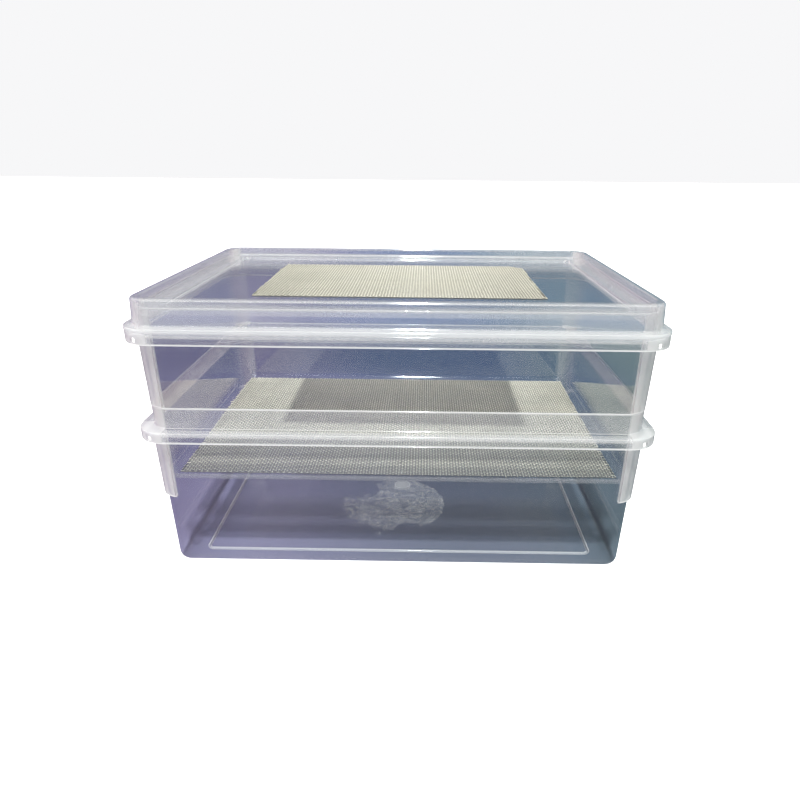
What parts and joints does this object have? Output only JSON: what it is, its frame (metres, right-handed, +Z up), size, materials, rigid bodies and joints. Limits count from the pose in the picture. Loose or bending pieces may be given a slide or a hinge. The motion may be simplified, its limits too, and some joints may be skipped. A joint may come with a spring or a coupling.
{
  "type": "insect breeding box",
  "caption": "Stacked clear plastic box for breeding insects: a catch tub, a nested tub with a gauze floor, and a press-on lid with a gauze window.",
  "frame": {"origin": "middle of the face the box stands on, under the lower tub's foot ring", "axes": "+X along the length, +Y across it away from the picture's viewer, +Z up"},
  "size_m": [0.3006, 0.2076, 0.1699],
  "materials": {
    "clear_polypropylene": "gloss",
    "woven_steel": "satin"
  },
  "bodies": {
    "lower_tub": {"lower_tub": "clear_polypropylene"},
    "upper_tub": {"upper_tub": "clear_polypropylene", "floor_gauze": "woven_steel"},
    "lid": {"lid": "clear_polypropylene", "lid_gauze": "woven_steel"}
  },
  "joints": [
    {"name": "upper_tub_lift", "type": "slide", "parent": "lower_tub", "child": "upper_tub", "axis": [0, 0, 1], "range_m": [0, 0.08]},
    {"name": "lid_lift", "type": "slide", "parent": "upper_tub", "child": "lid", "axis": [0, 0, 1], "range_m": [0, 0.06]}
  ]
}
